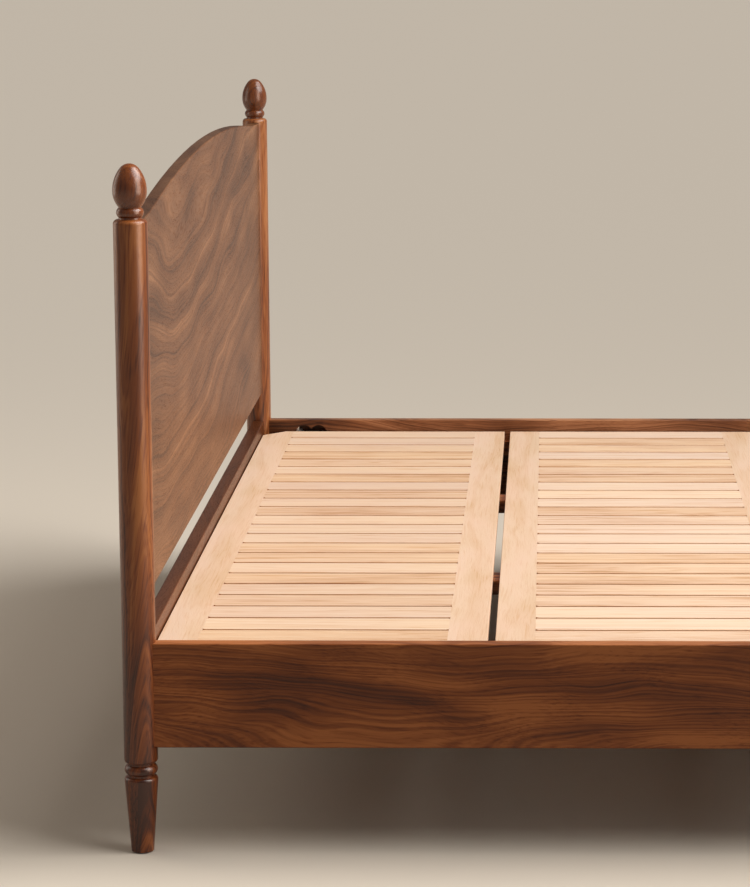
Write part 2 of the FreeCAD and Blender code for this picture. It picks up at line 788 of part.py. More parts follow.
def half_moon_stock():
    """A washer with a round back that beds in the bored pocket and a flat face for the nut."""
    disc = cylinder_along("washer_disc", "Y", s.pocket_diameter - s.fit_clearance * 2, s.washer_width,
                          -(s.washer_width / 2))
    bind(disc, "Placement.Base.x", s.pocket_diameter / 2)
    block = doc.addObject("Part::Box", "washer_block")
    bind(block, "Length", s.washer_thickness)
    bind(block, "Width", s.washer_width)
    bind(block, "Height", s.pocket_diameter)
    bind(block, "Placement.Base.y", -(s.washer_width / 2))
    bind(block, "Placement.Base.z", -(s.pocket_diameter / 2))
    moon = doc.addObject("Part::Common", "washer_moon")
    moon.Base = disc
    moon.Tool = block
    hole = cylinder_along("washer_hole", "X", s.stud_diameter + s.fit_clearance * 2, s.washer_thickness)
    return cut_from("washer_stock", moon, hole)


def nut_stock():
    """A hexagon nut with two flats upright, facing across the rail."""
    hexagon = doc.addObject("Part::Prism", "nut_hexagon")
    hexagon.Polygon = 6
    bind(hexagon, "Circumradius", s.nut_across / 3 ** 0.5)
    bind(hexagon, "Height", s.nut_thickness)
    hexagon.Placement = FreeCAD.Placement(FreeCAD.Vector(), FreeCAD.Rotation(FreeCAD.Vector(0, 1, 0), 90))
    hole = cylinder_along("nut_hole", "X", s.stud_diameter + s.fit_clearance, s.nut_thickness)
    return cut_from("nut_stock", hexagon, hole)


def corner_places(reach, heights):
    """Places on the four rail joints, a given distance from the post axis and pointing along the rail."""
    places = []
    for end, turn in ((-1, 0), (1, 180)):
        for side in (-1, 1):
            for height in heights:
                places.append(((post_x - reach) * end, post_y * side, rail_bottom + height, turn))
    return places


def make_fasteners():
    stud_heights = (stud_height_low, stud_height_high)
    insert_start = s.housing_floor - s.insert_length
    rail_end = s.housing_floor
    nut_end = rail_end + washer_face + s.nut_thickness
    stud = cylinder_along("stud_stock", "X", s.stud_diameter, nut_end + s.stud_overrun - insert_start)
    copies("rail_studs", stud, corner_places(insert_start, stud_heights))
    sleeve = cylinder_along("insert_sleeve", "X", s.insert_diameter, s.insert_length)
    sleeve_hole = cylinder_along("insert_hole", "X", s.stud_diameter + s.fit_clearance, s.insert_length)
    insert = cut_from("insert_stock", sleeve, sleeve_hole)
    copies("stud_inserts", insert, corner_places(insert_start, stud_heights))
    copies("half_moon_washers", half_moon_stock(), corner_places(rail_end + pocket_wall, stud_heights))
    copies("rail_nuts", nut_stock(), corner_places(rail_end + washer_face, stud_heights))
    dowel = cylinder_along("dowel_stock", "X", s.dowel_diameter, s.dowel_in_post + s.dowel_in_rail)
    copies("rail_dowels", dowel, corner_places(rail_end - s.dowel_in_post, (s.rail_height / 2,)))

    ledger_places = []
    for side in (-1, 1):
        for index in range(LEDGER_SCREW_COUNT):
            x = ledger_screw_span * (index / (LEDGER_SCREW_COUNT - 1)) - ledger_screw_span / 2
            y = (inner_width / 2 - s.ledger_width) * side
            ledger_places.append((x, y, slat_bottom - s.ledger_height / 2, 90 * side))
    copies("ledger_screws", screw_stock("ledger_screw_stock", s.ledger_width + s.screw_bite), ledger_places)

    block_places = []
    for end, turn in ((-1, 180), (1, 0)):
        for beam_side in (-1, 1):
            for cheek in (-1, 1):
                x = (inner_length / 2 - s.block_depth) * end
                y = s.beam_spacing / 2 * beam_side + block_screw_y * cheek
                block_places.append((x, y, slat_bottom - block_height / 2, turn))
    copies("block_screws", screw_stock("block_screw_stock", s.block_depth + s.screw_bite), block_places)

    bolt = cylinder_along("leg_bolt_stock", "Z", s.stud_diameter, s.leg_bolt_in_leg + s.leg_bolt_in_beam)
    bolt_bottom = beam_bottom - s.leg_bolt_in_leg
    bolt_places = []
    for end in (-1, 1):
        for side in (-1, 1):
            bolt_places.append((s.leg_spacing / 2 * end, s.beam_spacing / 2 * side, bolt_bottom, 0))
    copies("leg_bolts", bolt, bolt_places)


# The bed
SIDES = (("left", -1), ("right", 1))
ENDS = (("head", -1), ("foot", 1))
POST_TOPS = {"head": s.head_post_top, "foot": s.foot_post_top}

for end_name, end in ENDS:
    post_top = POST_TOPS[end_name]
    for side_name, side in SIDES:
        corner = f"{end_name}_{side_name}"
        make_post(f"{end_name}_post_{side_name}", post_top, -end, -side, has_panel=end_name == "head")
        make_finial(f"{end_name}_finial_{side_name}", post_x * end, post_y * side, post_top)
        make_glide(f"post_glide_{corner}", post_x * end, post_y * side)
        leg_x = s.leg_spacing / 2 * end
        beam_y = s.beam_spacing / 2 * side
        make_leg(f"support_leg_{corner}", leg_x, beam_y)
        make_glide(f"leg_glide_{corner}", leg_x, beam_y)
        make_beam_block(f"beam_block_{corner}", end, beam_y)
    make_end_rail(f"{end_name}_rail", end)

for side_name, side in SIDES:
    make_side_rail(f"side_rail_{side_name}", side)
    make_ledger(f"side_ledger_{side_name}", side)
    make_beam(f"support_beam_{side_name}", s.beam_spacing / 2 * side)

make_head_panel("head_panel")

for index in range(PANEL_COUNT):
    panel_start = s.panel_end_gap - inner_length / 2 + (panel_length + s.panel_gap) * index
    name = f"slat_panel_{index + 1}"
    make_cross_board(f"{name}_head_board", panel_start, 0, clipped=index == 0)
    make_cross_board(f"{name}_foot_board", panel_start + panel_length, 180, clipped=index == PANEL_COUNT - 1)
    make_slats(f"{name}_slats", panel_start)

make_fasteners()

# Every object must have computed, and every piece must be the right number of valid solids
doc.recompute()
for thing in doc.Objects:
    if "Invalid" in thing.State or "Error" in thing.State:
        raise RuntimeError(f"{thing.Label} did not compute: {thing.State}")
for label, (thing, solids) in nodes.items():
    shape = thing.Shape
    if shape.isNull() or not shape.isValid():
        raise RuntimeError(f"{label} has no valid shape")
    if len(shape.Solids) != solids:
        raise RuntimeError(f"{label} has {len(shape.Solids)} solids, not {solids}")

os.makedirs("parts", exist_ok=True)
for label, (thing, solids) in nodes.items():
    thing.Shape.exportStep(os.path.join("parts", f"{label}.step"))
print(f"{len(nodes)} nodes, {sum(solids for thing, solids in nodes.values())} solids")
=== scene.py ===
# %% [markdown]
# # A turned-post walnut bed
# The bed was built piece by piece in CAD, and that model is loaded here as a fixed frame: nothing in it
# is moved. This lesson gives every piece its finish, and makes again, with Geometry Nodes, the pieces
# that repeat: the slats, the screws and the threaded studs.

# %% Load the frame
import math

import bmesh
import bpy
from mathutils import Euler, Matrix, Vector


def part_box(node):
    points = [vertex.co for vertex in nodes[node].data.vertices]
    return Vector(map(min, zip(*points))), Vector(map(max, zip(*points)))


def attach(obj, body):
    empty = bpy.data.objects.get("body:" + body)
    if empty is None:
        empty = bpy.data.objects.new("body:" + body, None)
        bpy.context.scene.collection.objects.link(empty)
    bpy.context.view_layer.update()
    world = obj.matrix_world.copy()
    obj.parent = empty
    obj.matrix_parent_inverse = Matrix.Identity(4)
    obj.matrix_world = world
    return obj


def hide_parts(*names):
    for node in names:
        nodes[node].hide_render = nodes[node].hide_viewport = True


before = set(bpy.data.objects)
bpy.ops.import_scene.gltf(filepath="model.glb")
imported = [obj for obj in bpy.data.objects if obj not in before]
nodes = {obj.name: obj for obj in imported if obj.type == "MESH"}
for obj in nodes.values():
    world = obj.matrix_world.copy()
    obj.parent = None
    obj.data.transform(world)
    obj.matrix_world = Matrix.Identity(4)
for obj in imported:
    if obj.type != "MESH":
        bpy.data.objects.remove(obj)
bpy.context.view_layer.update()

scene = bpy.context.scene

# %% [markdown]
# Node trees are wired by hand in Blender's editor, or by three calls per node in a script: add it, set
# it, link it. One small helper does all three, so that a tree below reads like a recipe. An input can be
# given a plain value or another node's output. The other helpers name the steps that come up most often.

# %% Helpers that add a node, set it and link it
MIX_SHARE = 0
MIX_FIRST = 6
MIX_SECOND = 7
MIX_RESULT = 2


def add_node(tree, kind, inputs=None, **settings):
    """Add a node. Inputs are named or numbered, and each is a value or an output to link from."""
    node = tree.nodes.new(kind)
    for name, value in settings.items():
        setattr(node, name, value)
    for name, value in (inputs or {}).items():
        if isinstance(value, bpy.types.NodeSocket):
            tree.links.new(value, node.inputs[name])
        else:
            node.inputs[name].default_value = value
    return node


def calculate(tree, operation, first, second=0.0):
    """One step of arithmetic on numbers."""
    return add_node(tree, "ShaderNodeMath", {0: first, 1: second}, operation=operation).outputs[0]


def calculate_vector(tree, operation, first, second):
    """One step of arithmetic on vectors."""
    return add_node(tree, "ShaderNodeVectorMath", {0: first, 1: second}, operation=operation).outputs[0]


def scale_vector(tree, vector, size):
    """A vector times a number."""
    inputs = {0: vector, "Scale": size}
    return add_node(tree, "ShaderNodeVectorMath", inputs, operation="SCALE").outputs[0]


def vector_of(tree, **parts):
    """A vector from its X, Y and Z, each zero unless it is given."""
    return add_node(tree, "ShaderNodeCombineXYZ", parts).outputs[0]


def z_of(tree, vector):
    """A vector's Z alone."""
    return add_node(tree, "ShaderNodeSeparateXYZ", {0: vector}).outputs["Z"]


def spread(tree, value, low, high, to_low=0.0, to_high=1.0):
    """Spread what lies between low and high over a new range, and hold it at the range's ends."""
    inputs = {"Value": value, "From Min": low, "From Max": high, "To Min": to_low, "To Max": to_high}
    return add_node(tree, "ShaderNodeMapRange", inputs).outputs["Result"]


def mix_colours(tree, share, first, second, blend="MIX"):
    """Mix two colours. A Mix node has several sockets of one name, so these go by number."""
    inputs = {MIX_SHARE: share, MIX_FIRST: first, MIX_SECOND: second}
    mixed = add_node(tree, "ShaderNodeMix", inputs, data_type="RGBA", blend_type=blend)
    return mixed.outputs[MIX_RESULT]


print("node helpers ready")

# %% [markdown]
# The photograph was taken with a long lens from the bed's side, a little above it, and then cropped to
# the head end. A crop moves the middle of the lens out of the middle of the picture, and the camera's
# shift does the same. The place, turn and lens were solved from the posts, the rails and the slat panels.

# %% Camera
IMAGE_WIDTH = 750
IMAGE_HEIGHT = 887
FOCAL_PIXELS = 3002.1
LENS_MIDDLE_X = 517.9
LENS_MIDDLE_Y = 339.8
SENSOR_WIDTH = 36.0
CAMERA_PLACE = Vector((-0.4224, -5.2278, 1.431))
CAMERA_YAW = math.radians(0.613)
CAMERA_PITCH = math.radians(-8.719)
CAMERA_ROLL = math.radians(-0.044)

camera_data = bpy.data.cameras.new("camera")
camera_data.sensor_width = SENSOR_WIDTH
camera_data.lens = FOCAL_PIXELS / IMAGE_HEIGHT * SENSOR_WIDTH
camera_data.shift_x = (IMAGE_WIDTH / 2 - LENS_MIDDLE_X) / IMAGE_HEIGHT
camera_data.shift_y = (LENS_MIDDLE_Y - IMAGE_HEIGHT / 2) / IMAGE_HEIGHT
camera = bpy.data.objects.new("camera", camera_data)
scene.collection.objects.link(camera)
yaw = Matrix.Rotation(CAMERA_YAW, 4, "Z")
tilt = Matrix.Rotation(math.pi / 2 + CAMERA_PITCH, 4, "X")
roll = Matrix.Rotation(CAMERA_ROLL, 4, "Z")
camera.matrix_world = Matrix.Translation(CAMERA_PLACE) @ (yaw @ tilt) @ roll
scene.camera = camera
print(f"lens {camera_data.lens:.1f} mm, shift {camera_data.shift_x:.3f}, {camera_data.shift_y:.3f}")

# %% [markdown]
# The floor is plain and pale. It looks pale to the camera and to reflections, but throws little light
# back up under the bed. The Standard view transform keeps colours as they are written.

# %% Floor
FLOOR_REACH = 40.0
FLOOR_SIGNS = ((-1, -1), (1, -1), (1, 1), (-1, 1))
FLOOR_COLOUR = (0.70, 0.615, 0.51, 1.0)
FLOOR_BOUNCE = (0.14, 0.10, 0.065, 1.0)
FLOOR_ROUGHNESS = 0.8


def new_finish(name):
    """A new material, with its node tree and its shader."""
    finish = bpy.data.materials.new(name)
    finish.use_nodes = True
    return finish, finish.node_tree, finish.node_tree.nodes["Principled BSDF"]


scene.view_settings.view_transform = "Standard"

floor_mesh = bpy.data.meshes.new("floor")
floor_corners = [(FLOOR_REACH * x, FLOOR_REACH * y, 0.0) for x, y in FLOOR_SIGNS]
floor_mesh.from_pydata(floor_corners, [], [(0, 1, 2, 3)])
floor = bpy.data.objects.new("floor", floor_mesh)
scene.collection.objects.link(floor)
floor_finish, floor_tree, floor_shader = new_finish("pale_floor")
light_path = add_node(floor_tree, "ShaderNodeLightPath").outputs
seen = calculate(floor_tree, "MAXIMUM", light_path["Is Camera Ray"], light_path["Is Glossy Ray"])
seen = calculate(floor_tree, "MAXIMUM", seen, light_path["Is Transmission Ray"])
floor_colour = mix_colours(floor_tree, seen, FLOOR_BOUNCE, FLOOR_COLOUR)
floor_tree.links.new(floor_colour, floor_shader.inputs["Base Color"])
floor_shader.inputs["Roughness"].default_value = FLOOR_ROUGHNESS
floor_mesh.materials.append(floor_finish)
print(f"floor {2 * FLOOR_REACH:.0f} m square")

# %% [markdown]
# A bed is photographed in a studio with one large soft lamp and a room that fills the shadows. The lamp
# stands high at the foot end, so the slats and the head panel's front catch it and the near rail stays
# in the fill. A sun lamp with a wide disc gives that soft shadow over the bed's whole length, and a soft
# box hangs over the slats. Turned lacquer shows its gloss only where it mirrors something bright, so one
# tall card stands right of the camera and one behind the head end. The right one is seen in the gloss
# alone, and the back one also lights the side that the lamp leaves dark.

# %% Room, lamp and soft boxes
ROOM_COLOUR = (1.0, 0.96, 0.9, 1.0)
ROOM_STRENGTH = 0.20
LAMP_STRENGTH = 2.55
LAMP_DISC = math.radians(50)
LAMP_HEIGHT = math.radians(46)
LAMP_BEARING = math.radians(4)
HEAD_CORNER = Vector((-1.03, -0.93, 0.9))
WARM = (1.0, 0.86, 0.72)
NEARLY_WHITE = (1.0, 0.96, 0.9)
SOFT_BOXES = {
    "top_box": {
        "place": Vector((0.7, -0.4, 2.6)), "width": 1.5, "height": 1.5,
        "glow": 4.8, "colour": NEARLY_WHITE, "gloss_only": False,
    },
    "right_card": {
        "place": Vector((1.3, -1.8, 1.4)), "width": 1.5, "height": 2.2,
        "glow": 5.0, "colour": WARM, "gloss_only": True,
    },
    "back_card": {
        "place": Vector((-3.6, 0.3, 1.4)), "width": 1.6, "height": 2.2,
        "glow": 1.6, "colour": WARM, "gloss_only": False,
    },
}

world = bpy.data.worlds.new("room")
world.use_nodes = True
world.node_tree.nodes["Background"].inputs["Color"].default_value = ROOM_COLOUR
world.node_tree.nodes["Background"].inputs["Strength"].default_value = ROOM_STRENGTH
scene.world = world


def add_lamp(name, kind, energy, towards, place=(0.0, 0.0, 0.0)):
    """A lamp at a place, shining against the given direction."""
    data = bpy.data.lights.new(name, kind)
    data.energy = energy
    made = bpy.data.objects.new(name, data)
    made.location = place
    made.rotation_mode = "QUATERNION"
    made.rotation_quaternion = Vector(towards).to_track_quat("Z", "Y")
    made.visible_camera = False
    scene.collection.objects.link(made)
    return made


lamp_from = Vector((
    math.cos(LAMP_HEIGHT) * math.cos(LAMP_BEARING),
    -math.cos(LAMP_HEIGHT) * math.sin(LAMP_BEARING),
    math.sin(LAMP_HEIGHT),
))
soft_lamp = add_lamp("soft_lamp", "SUN", LAMP_STRENGTH, lamp_from)
soft_lamp.data.angle = LAMP_DISC
for name, box in SOFT_BOXES.items():
    energy = box["glow"] * math.pi * box["width"] * box["height"]
    soft_box = add_lamp(name, "AREA", energy, box["place"] - HEAD_CORNER, box["place"])
    soft_box.data.shape = "RECTANGLE"
    soft_box.data.size = box["width"]
    soft_box.data.size_y = box["height"]
    soft_box.data.color = box["colour"]
    soft_box.visible_diffuse = not box["gloss_only"]
print(f"lamp from {[round(part, 2) for part in lamp_from]}, {len(SOFT_BOXES)} soft boxes")

# %% [markdown]
# Every piece of this bed is sawn from a trunk, so one group of nodes grows the trunk. Rings lie round a
# pith, and the distance from the pith says which ring a point is in. A slow noise, stretched along the
# grain, makes the rings wander as a real tree does. A board sawn from it then shows stripes, arches or
# swirls by itself, and its end shows the rings' curves, with no picture to stretch or repeat. Soft zones
# of paler and darker wood lie over the rings. Each kind of noise is spread out, so that it reaches from
# none to full.

# %% The trunk: a group that turns a place in the wood into zones, bands, rings, streaks and pores
FINE_WANDER_STEPS = 3.3
STREAK_WIDTH = 0.0025
STREAK_LENGTH = 0.09
PORE_WIDTH = 0.0011
PORE_LENGTH = 0.02
SMOOTH = 0.0
SOFT_DETAIL = 1.0
BAND_DETAIL = 2.0
NOISE_MIDDLE = (0.5, 0.5, 0.5)
FLATTEN = (1.0, 1.0, 0.0)
TRUNK_SIZES = (
    "Shift", "Wander", "Wander Width", "Wander Length", "Fine Wander", "Bow",
    "Band Width", "Ring Width", "Zone Width", "Zone Length",
)
FIGURE_SPREADS = {
    "Zones": (0.32, 0.68), "Bands": (0.28, 0.72), "Rings": (0.3, 0.65),
    "Streaks": (0.5, 0.74), "Pores": (0.56, 0.76),
}


def group_socket(group, name, kind, direction="INPUT"):
    """A new input or output of a group."""
    return group.interface.new_socket(name=name, in_out=direction, socket_type=kind)


def stretched_noise(tree, place, width, length, detail, steps=1.0):
    """Noise in long grains that lie along Z. Gives its value and its colour."""
    across = calculate(tree, "DIVIDE", 1.0, width)
    along = calculate(tree, "DIVIDE", 1.0, length)
    stretch = vector_of(tree, X=across, Y=across, Z=along)
    grains = calculate_vector(tree, "MULTIPLY", place, stretch)
    noise = {"Vector": grains, "Scale": steps, "Detail": detail}
    return add_node(tree, "ShaderNodeTexNoise", noise).outputs


def ring_noise(tree, radius, width, detail):
    """Noise that changes only with the distance from the pith, so it is the same all along a ring."""
    steps = calculate(tree, "DIVIDE", radius, width)
    noise = {"W": steps, "Scale": 1.0, "Detail": detail}
    return add_node(tree, "ShaderNodeTexNoise", noise, noise_dimensions="1D").outputs[0]


def push_from_noise(tree, noise, size):
    """A push to any side, from a noise's colour."""
    push = calculate_vector(tree, "SUBTRACT", noise["Color"], NOISE_MIDDLE)
    return scale_vector(tree, push, size)


trunk = bpy.data.node_groups.new("trunk", "ShaderNodeTree")
group_socket(trunk, "Place", "NodeSocketVector")
group_socket(trunk, "Pith", "NodeSocketVector")
for size_name in TRUNK_SIZES:
    group_socket(trunk, size_name, "NodeSocketFloat")
for part_name in FIGURE_SPREADS:
    group_socket(trunk, part_name, "NodeSocketFloat", "OUTPUT")

given = add_node(trunk, "NodeGroupInput").outputs
shifted = calculate_vector(trunk, "ADD", given["Place"], vector_of(trunk, Z=given["Shift"]))
wander_size = (given["Wander Width"], given["Wander Length"])
slow = stretched_noise(trunk, shifted, *wander_size, SMOOTH)
fine = stretched_noise(trunk, shifted, *wander_size, SOFT_DETAIL, FINE_WANDER_STEPS)
slow_push = push_from_noise(trunk, slow, given["Wander"])
fine_push = push_from_noise(trunk, fine, given["Fine Wander"])
push = calculate_vector(trunk, "ADD", slow_push, fine_push)
wandered = calculate_vector(trunk, "ADD", shifted, push)
length_on = z_of(trunk, given["Place"])
length_squared = calculate(trunk, "MULTIPLY", length_on, length_on)
bow_rise = calculate(trunk, "MULTIPLY", length_squared, given["Bow"])
wandered = calculate_vector(trunk, "ADD", wandered, vector_of(trunk, Y=bow_rise))
from_pith = calculate_vector(trunk, "SUBTRACT", wandered, given["Pith"])
flat = calculate_vector(trunk, "MULTIPLY", from_pith, FLATTEN)
radius = add_node(trunk, "ShaderNodeVectorMath", {0: flat}, operation="LENGTH").outputs["Value"]
zone_size = (given["Zone Width"], given["Zone Length"])
noises = {
    "Zones": stretched_noise(trunk, wandered, *zone_size, SOFT_DETAIL)[0],
    "Bands": ring_noise(trunk, radius, given["Band Width"], BAND_DETAIL),
    "Rings": ring_noise(trunk, radius, given["Ring Width"], SOFT_DETAIL),
    "Streaks": stretched_noise(trunk, wandered, STREAK_WIDTH, STREAK_LENGTH, SOFT_DETAIL)[0],
    "Pores": stretched_noise(trunk, wandered, PORE_WIDTH, PORE_LENGTH, SMOOTH)[0],
}
figure_parts = {part: spread(trunk, noise, *FIGURE_SPREADS[part]) for part, noise in noises.items()}
add_node(trunk, "NodeGroupOutput", figure_parts)
print(f"trunk group has {len(trunk.nodes)} nodes")

# %% [markdown]
# A wood's look is its stain, from its darkest stripe to its palest, how much of each kind of figure it
# shows, and its finish. The stain is a ramp of colours. The figure is added up by weights. Faces that
# look up, or sideways, can be painted lighter or darker: painted light and shade by which way they face.

# %% Parts of a wood's material
GRAIN_AXES = {
    "X": Matrix.Rotation(math.pi / 2, 3, "Y"),
    "Y": Matrix.Rotation(-math.pi / 2, 3, "X"),
    "Z": Matrix.Identity(3),
}
FACE_TURN = (0.6, 0.95)


def colour_ramp(tree, value, stops):
    """A colour for a value, from stops that give a place and its colour."""
    ramp = add_node(tree, "ShaderNodeValToRGB", {"Fac": value})
    elements = ramp.color_ramp.elements
    while len(elements) < len(stops):
        elements.new(1.0)
    for element, (place, colour) in zip(elements, stops):
        element.position = place
        element.color = (*colour, 1.0)
    return ramp.outputs["Color"]


def place_in_trunk(tree, grain, middle, lean):
    """Object coordinates, moved to the piece's middle and turned so that Z runs along its grain."""
    place = add_node(tree, "ShaderNodeTexCoord").outputs["Object"]
    turn = (GRAIN_AXES[grain] @ Euler(lean).to_matrix()).to_euler()
    mapping = {"Vector": place, "Location": middle, "Rotation": turn}
    return add_node(tree, "ShaderNodeMapping", mapping, vector_type="TEXTURE").outputs[0]


def weighed(tree, figure, weights):
    """Add up parts of the figure, each times its weight."""
    total = 0.0
    for part, weight in weights.items():
        total = calculate(tree, "ADD", total, calculate(tree, "MULTIPLY", figure.outputs[part], weight))
    return total


def facing_shares(tree):
    """How far a face looks up, and how far it looks sideways: the masks for painted light and shade."""
    rise = z_of(tree, add_node(tree, "ShaderNodeNewGeometry").outputs["Normal"])
    upward = spread(tree, rise, *FACE_TURN)
    level = spread(tree, calculate(tree, "ABSOLUTE", rise), *FACE_TURN)
    return upward, calculate(tree, "SUBTRACT", 1.0, level)


print(f"grain along {', '.join(GRAIN_AXES)}")

# %% [markdown]
# Each board comes from its own place in the trunk, so each gets its own material: the same recipe, turned
# so that the grain runs along the piece, with the pith put near enough for arches or far enough for
# straight stripes. Pores and streaks are duller than the wood between them, and pores are sunk a little.

# %% The wood recipe
PORE_DEPTH = 0.0004
DULL_WEIGHTS = {"Pores": 0.12, "Streaks": 0.05}
RELIEF_WEIGHTS = {"Rings": 0.2, "Pores": -1.0}
NO_LEAN = (0.0, 0.0, 0.0)


def figured_wood(name, look, cut, grain, middle, lean=NO_LEAN, shift=0.0):
    """One piece's wood. The look is its colours and finish, and the cut says how the trunk was sawn."""
    finish, tree, shader = new_finish(name)
    own_tone = look["even_tone"]
    own_share = 0.0
    if "tone_attribute" in look:
        own = add_node(tree, "ShaderNodeAttribute", attribute_name=look["tone_attribute"])
        own_number = own.outputs["Fac"]
        own_shift = calculate(tree, "MULTIPLY", own_number, look["tone_shift"])
        own_share = calculate(tree, "FRACT", own_shift)
        shift = calculate(tree, "ADD", own_shift, shift)
        tones = (look["darkest_tone"], look["palest_tone"])
        own_tone = spread(tree, own_number, 0.0, look["darker_share"], *tones)
    place = place_in_trunk(tree, grain, middle, lean)
    # Painted shade: the colour grows darker towards the piece's foot, by this much per metre of height.
    if "painted_foot_shade_per_metre" in look:
        rise = calculate(tree, "MULTIPLY", z_of(tree, place), look["painted_foot_shade_per_metre"])
        own_tone = calculate(tree, "ADD", rise, own_tone)
    figure = add_node(tree, "ShaderNodeGroup", {"Place": place, "Shift": shift, **cut}, node_tree=trunk)
    tone = calculate(tree, "ADD", weighed(tree, figure, look["figure"]), own_tone)
    colour = colour_ramp(tree, tone, look["stain"])
    # Painted light and shade: faces that look up, and the slats' sides, are tinted by which way they
    # face; zones and each slat's own tone are the wood's own colour.
    upward, sideward = facing_shares(tree)
    shares = {
        "painted_top_shading": upward, "painted_side_shade": sideward,
        "zone_tint": figure.outputs["Zones"], "own_tint": own_share,
    }
    for tint_name, share in shares.items():
        if tint_name in look:
            colour = mix_colours(tree, share, colour, (*look[tint_name], 1.0), "MULTIPLY")
    tree.links.new(colour, shader.inputs["Base Color"])
    dull = weighed(tree, figure, DULL_WEIGHTS)
    tree.links.new(calculate(tree, "ADD", dull, look["roughness"]), shader.inputs["Roughness"])
    shader.inputs["Specular IOR Level"].default_value = look["specular"]
    height = weighed(tree, figure, RELIEF_WEIGHTS)
    relief = {"Height": height, "Strength": look["relief"], "Distance": PORE_DEPTH}
    bump = add_node(tree, "ShaderNodeBump", relief)
    tree.links.new(bump.outputs["Normal"], shader.inputs["Normal"])
    return finish


def tinted(stain, tint):
    """A stain with each colour times a tint."""
    stops = []
    for place, colour in stain:
        stops.append((place, tuple(part * share for part, share in zip(colour, tint))))
    return tuple(stops)


def dress(node, finish):
    """Give a CAD piece its finish."""
    nodes[node].data.materials.clear()
    nodes[node].data.materials.append(finish)


def middle_of(node):
    """The middle of a CAD piece's box."""
    low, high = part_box(node)
    return (low + high) / 2


def dress_in_wood(node, kind, look, cut, grain, lean=NO_LEAN, shift=0.0):
    """Give a CAD piece a wood of its own, sawn about its middle."""
    dress(node, figured_wood(f"{kind}_{node}", look, cut, grain, middle_of(node), lean, shift))


print("wood recipe ready")

# %% [markdown]
# Walnut is a dark red-brown wood with broad, wandering stripes, dark streaks and short open pores, here
# under a thin satin lacquer. The posts and finials are turned on a lathe, with the grain upright and a
# little aslant, so dark streaks lean across them where the tool cut through the rings. Each post is
# painted darker towards its foot, as painted shade where it stands in shadow near the floor, and each
# finial takes the same painted shade over its own height. The finials come from calmer wood and are
# polished brighter. Each lean is in degrees.

# %% Walnut posts and finials
# Painted light: walnut faces that look up are painted lighter by the top tint below.
WALNUT = {
    "stain": ((0.0, (0.045, 0.010, 0.0022)), (0.33, (0.135, 0.036, 0.0085)),
              (0.66, (0.25, 0.078, 0.021)), (1.0, (0.43, 0.160, 0.053))),
    "figure": {"Zones": 0.72, "Bands": 0.70, "Rings": 0.34, "Streaks": -0.24, "Pores": -0.08},
    "even_tone": -0.17, "roughness": 0.34, "specular": 0.32, "relief": 0.15,
    "painted_top_shading": (1.35, 1.35, 1.35),
}
TURNED_WALNUT = dict(
    WALNUT,
    stain=((0.0, (0.050, 0.009, 0.0014)), (0.33, (0.155, 0.033, 0.0055)),
           (0.66, (0.28, 0.072, 0.014)), (1.0, (0.45, 0.150, 0.038))),
    figure={"Zones": 0.60, "Bands": 0.46, "Rings": 0.44, "Streaks": -0.34, "Pores": -0.06},
    painted_foot_shade_per_metre=0.34, roughness=0.28, specular=0.5, relief=0.12, painted_top_shading=(1.0, 1.0, 1.0),
)
FINIAL_WALNUT = dict(
    TURNED_WALNUT,
    figure={"Zones": 0.26, "Bands": 0.20, "Rings": 0.18, "Streaks": -0.34, "Pores": -0.06},
    roughness=0.25, specular=0.62,
)
TURNED_LOOKS = {"post": TURNED_WALNUT, "finial": FINIAL_WALNUT}
TURNED_SHIFTS = {"post": 0.0, "finial": 0.6}
TURNED_TIP = 0.03
POST_CUT = {"Pith": (0.16, 0.05, 0.0), "Wander": 0.035, "Wander Width": 0.1, "Wander Length": 0.6,
            "Fine Wander": 0.014, "Bow": 0.0, "Band Width": 0.018, "Ring Width": 0.0034,
            "Zone Width": 0.05, "Zone Length": 0.42}
ROSY = (1.0, 1.16, 1.55)
NO_TINT = (1.0, 1.0, 1.0)
TURNED_STOCK = {
    "head_left": dict(lean=9.5, bow=-0.18, shift=0.8, post=-0.21, finial=0.20, tint=NO_TINT),
    "head_right": dict(lean=-3.0, bow=0.0, shift=1.7, post=-0.17, finial=0.06, tint=ROSY),
    "foot_left": dict(lean=5.0, bow=0.1, shift=3.4, post=-0.11, finial=0.22, tint=NO_TINT),
    "foot_right": dict(lean=-4.0, bow=0.1, shift=5.1, post=-0.09, finial=0.23, tint=NO_TINT),
}

for corner, stock in TURNED_STOCK.items():
    end, side = corner.split("_")
    cut = dict(POST_CUT, Bow=stock["bow"])
    lean = (math.radians(stock["lean"]), TURNED_TIP, math.pi / 2)
    stain = tinted(TURNED_WALNUT["stain"], stock["tint"])
    for kind, kind_look in TURNED_LOOKS.items():
        look = dict(kind_look, stain=stain, even_tone=stock[kind])
        shift = stock["shift"] + TURNED_SHIFTS[kind]
        dress_in_wood(f"{end}_{kind}_{side}", "walnut", look, cut, "Z", lean, shift)
print(f"{len(TURNED_STOCK)} posts and finials dressed")

# %% [markdown]
# The rails are wide boards sawn flat, so their faces show long swirling bands. The grain runs along
# each rail. The two side rails come from different boards, one warmer and one rosier, and the end rails
# are of a calmer one.

# %% Walnut rails
RAIL_CUT = {"Pith": (0.14, 0.05, 0.0), "Wander": 0.15, "Wander Width": 0.22, "Wander Length": 0.62,
            "Fine Wander": 0.04, "Bow": 0.0, "Band Width": 0.045, "Ring Width": 0.0036,
            "Zone Width": 0.07, "Zone Length": 0.26}
RAIL_LEAN = math.radians(2.5)
